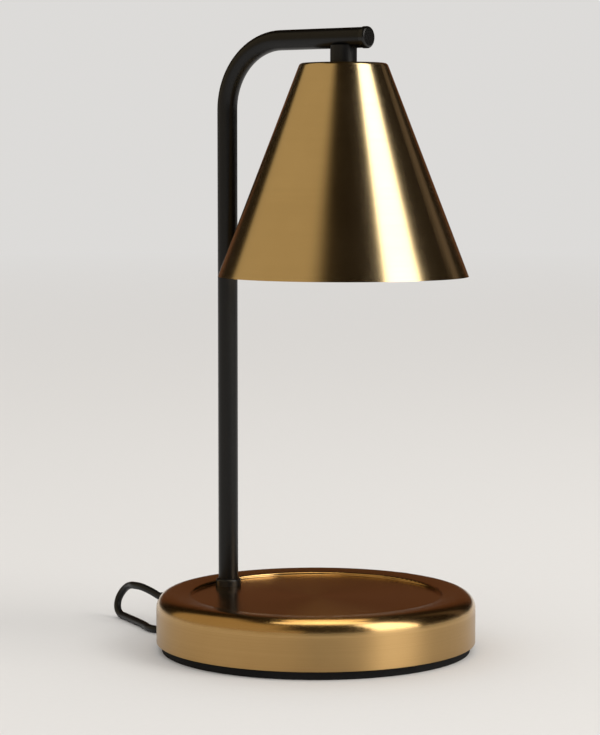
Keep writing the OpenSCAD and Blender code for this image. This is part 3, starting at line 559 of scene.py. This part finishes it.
def softboxes():
    """A half dome of dark cloth with soft panels in it, which only the gloss of things shows."""
    bm = bmesh.new()
    bmesh.ops.create_uvsphere(bm, u_segments=96, v_segments=48, radius=DOME_R)
    bmesh.ops.delete(bm, geom=[v for v in bm.verts if v.co.z < -0.01], context="VERTS")
    mesh = bpy.data.meshes.new("softboxes")
    bm.to_mesh(mesh)
    bm.free()
    m = Maker("softbox_panels")
    split = m.node("ShaderNodeSeparateXYZ")
    m.link(m.place, split.inputs[0])
    x, y, z = split.outputs

    def towards(direction):
        east, north = direction
        return m.math("ADD", m.math("MULTIPLY", x, east), m.math("MULTIPLY", y, north))

    degrees = 180 / math.pi
    azimuth = m.math("MULTIPLY", m.math("ARCTAN2", towards(RIGHT), towards(FRONT)), degrees)
    height = m.math("MULTIPLY", m.math("ARCSINE", m.math("DIVIDE", z, DOME_R)), degrees)

    def edge(value, at, soft, before, after):
        n = m.node("ShaderNodeMapRange", interpolation_type="SMOOTHSTEP")
        m.put(n.inputs["Value"], value)
        n.inputs["From Min"].default_value = at - soft
        n.inputs["From Max"].default_value = at + soft
        n.inputs["To Min"].default_value = before
        n.inputs["To Max"].default_value = after
        return n.outputs["Result"]

    def band(value, wall_rough_and_shade, high, soft_low, soft_high):
        rise = edge(value, wall_rough_and_shade, soft_low, 0.0, 1.0)
        fall = edge(value, high, soft_high, 1.0, 0.0)
        return m.math("MULTIPLY", rise, fall)

    def shone(value, colour):
        n = m.node("ShaderNodeVectorMath", operation="SCALE")
        n.inputs[0].default_value = colour
        m.put(n.inputs["Scale"], value)
        return n.outputs[0]

    def added(one, two):
        n = m.node("ShaderNodeVectorMath", operation="ADD")
        m.put(n.inputs[0], one)
        m.put(n.inputs[1], two)
        return n.outputs[0]

    light = DARK_CLOTH
    for az, el, colour in PANELS:
        lit = m.math("MULTIPLY", band(azimuth, *az), band(height, *el))
        light = added(light, shone(lit, colour))
    glow = m.node("ShaderNodeEmission")
    m.put(glow.inputs["Color"], light)
    glow.inputs["Strength"].default_value = 1.0
    m.link(glow.outputs[0], m.out.inputs["Surface"])
    mesh.materials.append(m.material)
    o = stage_object("softboxes", mesh)
    o.visible_camera = False
    o.visible_diffuse = False
    o.visible_transmission = False
    o.visible_shadow = False
    return o




def studio_world():
    """Soft white light on surfaces, and the floor's tone where it is seen or mirrored."""
    world = bpy.data.worlds.new("world")
    world.use_nodes = True
    nodes, link = world.node_tree.nodes, world.node_tree.links.new
    lit = nodes["Background"]
    lit.inputs["Color"].default_value = (1.0, 0.985, 0.965, 1)
    lit.inputs["Strength"].default_value = 0.95
    seen = nodes.new("ShaderNodeBackground")
    seen.inputs["Color"].default_value = plain(FLOOR_TONE)
    path = nodes.new("ShaderNodeLightPath")
    gloss = nodes.new("ShaderNodeMath")
    gloss.operation = "ADD"
    link(path.outputs["Is Glossy Ray"], gloss.inputs[0])
    link(path.outputs["Is Transmission Ray"], gloss.inputs[1])
    either = nodes.new("ShaderNodeMath")
    either.operation = "ADD"
    either.use_clamp = True
    link(path.outputs["Is Camera Ray"], either.inputs[0])
    link(gloss.outputs[0], either.inputs[1])
    choose = nodes.new("ShaderNodeMixShader")
    link(either.outputs[0], choose.inputs[0])
    link(lit.outputs[0], choose.inputs[1])
    link(seen.outputs[0], choose.inputs[2])
    link(choose.outputs[0], nodes["World Output"].inputs["Surface"])
    bpy.context.scene.world = world


def area(name, place, target, size, power, colour, gloss_only=False):
    """A round soft lamp that no surface mirrors, or one that only the gloss of things shows."""
    light = bpy.data.lights.new(name, "AREA")
    light.shape = "DISK"
    light.size = size
    light.energy = power
    light.color = colour
    o = bpy.data.objects.new(name, light)
    o.location = place
    o.rotation_euler = (Vector(target) - Vector(place)).to_track_quat("-Z", "Y").to_euler()
    o.visible_glossy = gloss_only
    o.visible_diffuse = not gloss_only
    o.visible_transmission = False
    bpy.context.scene.collection.objects.link(o)
    return o


floor()
softboxes()
studio_world()
area("key", (1.5, 0.3, 1.5), (0, 0, 0.1), 1.2, 14.0, (1.0, 0.97, 0.93))
# the lit mouth of the shade, for the gloss of the base's rim
mouth = (SHADE_X * MM, 0, SHADE_MOUTH_Z * MM + 0.003)
area("mouth_glow", mouth, (mouth[0], 0, 0), 0.10, 0.045, (1.0, 0.80, 0.52), gloss_only=True)
# a long lamp below the front of the shade, for the gloss of the rim's rolled edge
rim_place = (0.052, -0.056, 0.166)
rim_lamp = area(
    "rim_glow", rim_place, (*rim_place[:2], 0), 0.15, 0.055, (1.0, 0.90, 0.68), gloss_only=True)
rim_lamp.data.shape = "ELLIPSE"
rim_lamp.data.size_y = 0.05
rim_lamp.rotation_euler = (0, 0, math.atan2(RIGHT[1], RIGHT[0]))

bpy.context.scene.view_settings.view_transform = "Standard"
